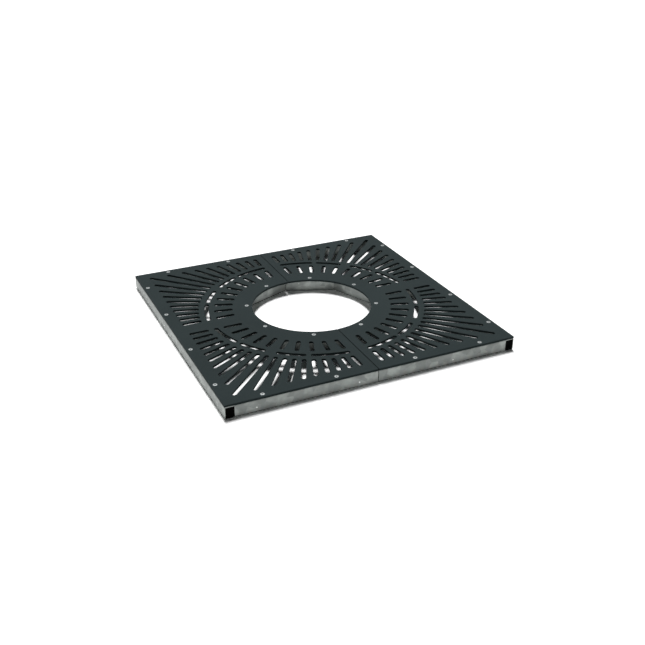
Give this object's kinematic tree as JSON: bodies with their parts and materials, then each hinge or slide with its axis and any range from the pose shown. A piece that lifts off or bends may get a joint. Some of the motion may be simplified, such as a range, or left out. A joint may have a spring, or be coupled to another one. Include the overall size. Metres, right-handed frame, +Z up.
{
  "type": "tree grate",
  "caption": "Square tree grate in two halves that close round a trunk, each a slotted steel plate screwed to a frame of rectangular tube.",
  "frame": {"origin": "centre of the square's underside, on the ground", "axes": "+X along the front edge to the right, +Y from front to back, +Z up; the seam lies along Y at x = 0"},
  "size_m": [1.2, 1.2, 0.058],
  "materials": {
    "top_coat": "matt slate-grey coating, faintly mottled",
    "tube_steel": "hot-dip galvanised, dull, patchy",
    "plug_plastic": "black, moulded",
    "screw_steel": "bright stainless",
    "insert_steel": "zinc plated"
  },
  "bodies": {
    "left_half": {"left_top_plate": "top_coat", "left_side_tube": "tube_steel", "left_front_tube": "tube_steel", "left_back_tube": "tube_steel", "left_arm_tube": "tube_steel", "left_ring_tube_1": "tube_steel", "left_ring_tube_2": "tube_steel", "left_ring_tube_3": "tube_steel", "left_ring_tube_4": "tube_steel", "left_end_plugs": "plug_plastic", "left_screws": "screw_steel", "left_inserts": "insert_steel"},
    "right_half": {"right_top_plate": "top_coat", "right_side_tube": "tube_steel", "right_front_tube": "tube_steel", "right_back_tube": "tube_steel", "right_arm_tube": "tube_steel", "right_ring_tube_1": "tube_steel", "right_ring_tube_2": "tube_steel", "right_ring_tube_3": "tube_steel", "right_ring_tube_4": "tube_steel", "right_end_plugs": "plug_plastic", "right_screws": "screw_steel", "right_inserts": "insert_steel"}
  },
  "joints": [
    {"name": "half_slide", "type": "slide", "parent": "left_half", "child": "right_half", "axis": [1, 0, 0], "range_m": [0, 0.6]}
  ]
}
